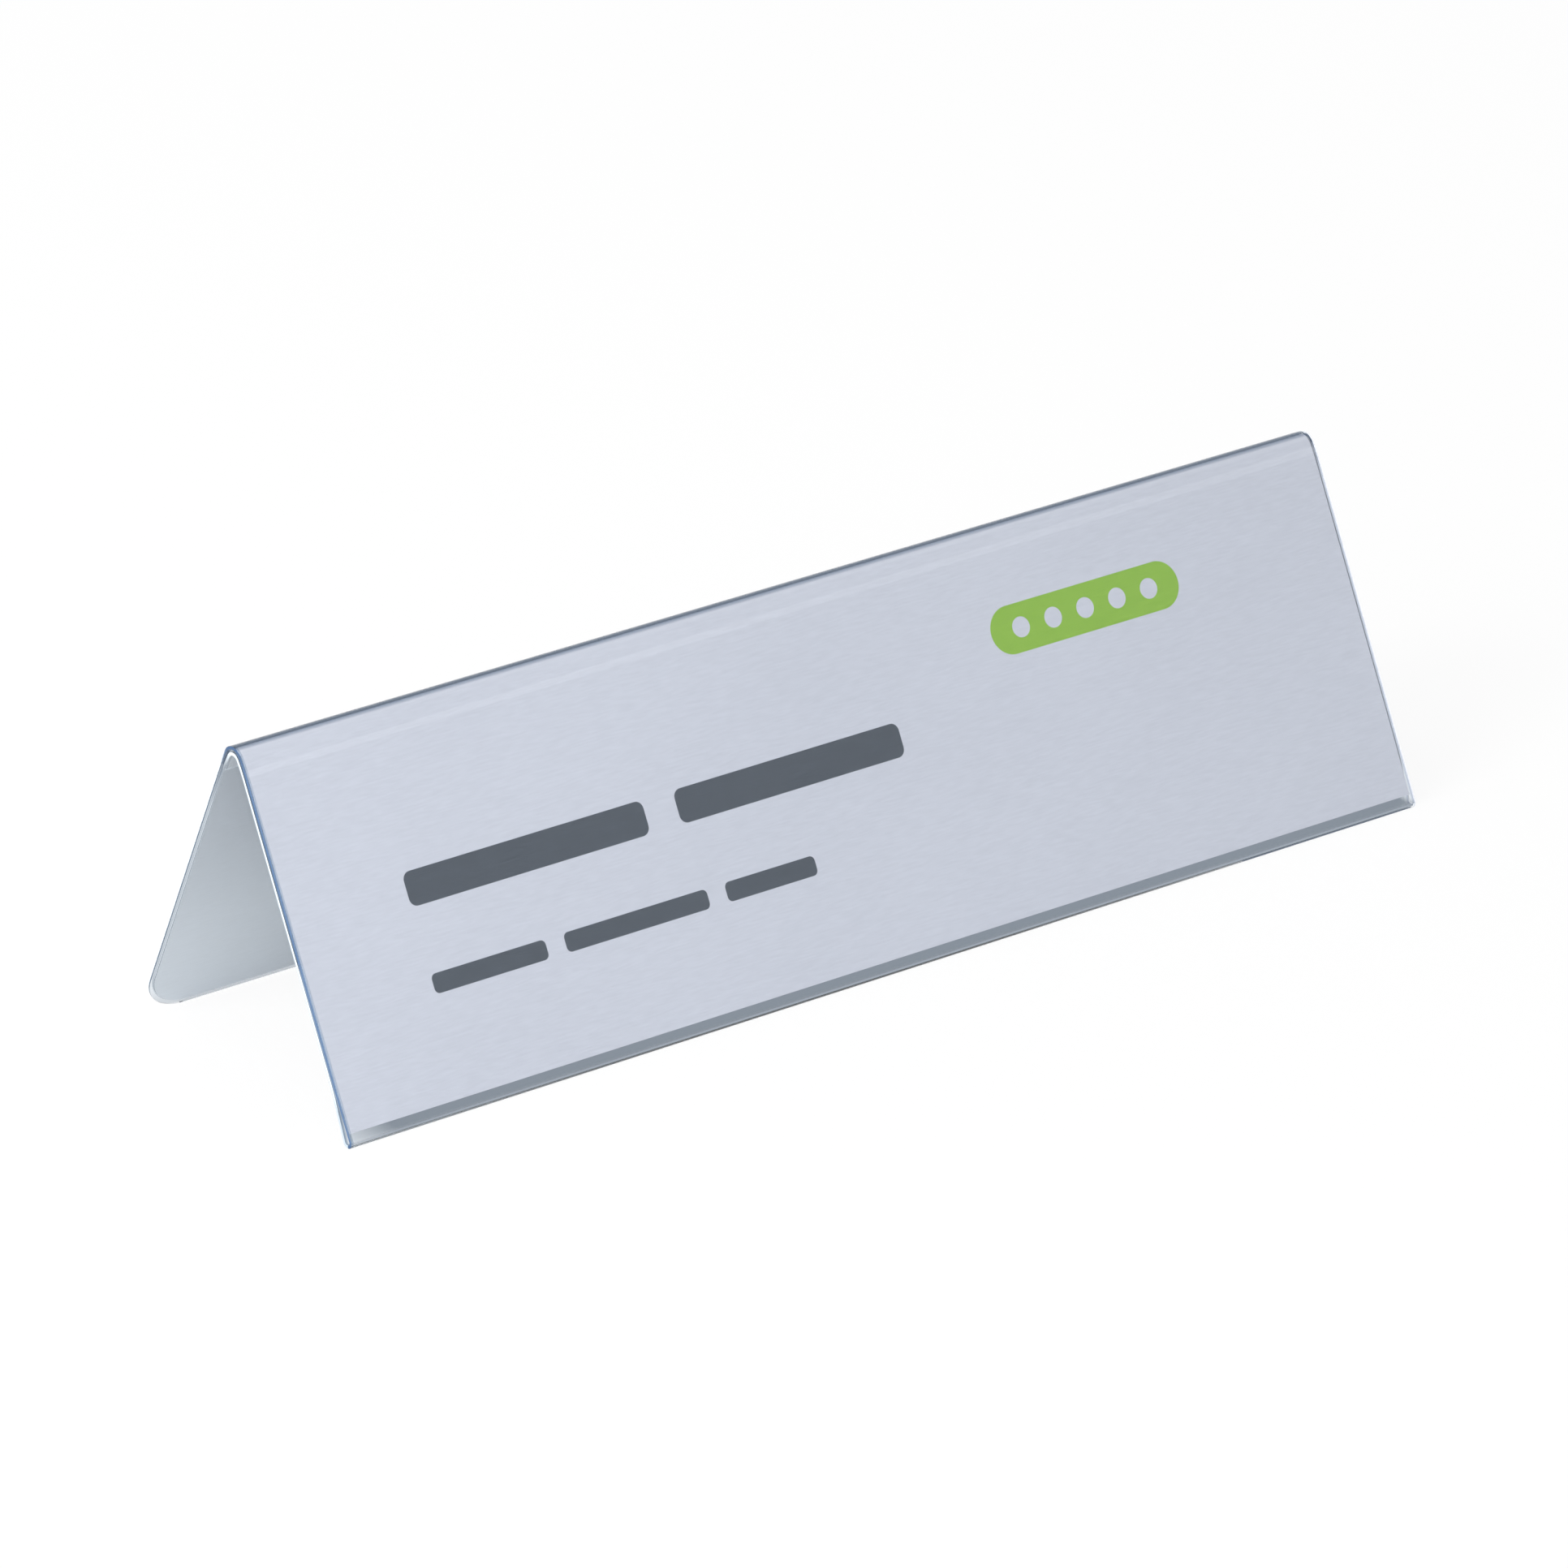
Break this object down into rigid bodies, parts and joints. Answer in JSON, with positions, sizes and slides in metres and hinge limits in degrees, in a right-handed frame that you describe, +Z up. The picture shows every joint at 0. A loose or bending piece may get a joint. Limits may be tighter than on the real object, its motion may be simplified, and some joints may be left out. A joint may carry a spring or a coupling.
{
  "type": "desk name plate",
  "caption": "Tent-shaped desk name plate: a clear folded film sleeve that stands on its folded front foot and its rear edge, with a folded card that slides out of either end.",
  "frame": {"origin": "on the desk, under the middle of the plate", "axes": "+X along the plate, to the right of a reader; -Y towards the reader; +Z up"},
  "size_m": [0.211, 0.061, 0.0574],
  "materials": {
    "clear_film": "clear stiff film, glossy, faintly blue at its cut edges",
    "card": "smooth pale blue-grey card with a fine lengthwise grain, matt"
  },
  "bodies": {
    "holder": {"clear_holder": "clear_film"},
    "card": {"insert_card": "card"}
  },
  "joints": [
    {"name": "card_slide", "type": "slide", "parent": "holder", "child": "card", "axis": [1, 0, 0], "range_m": [-0.215, 0.215]}
  ]
}
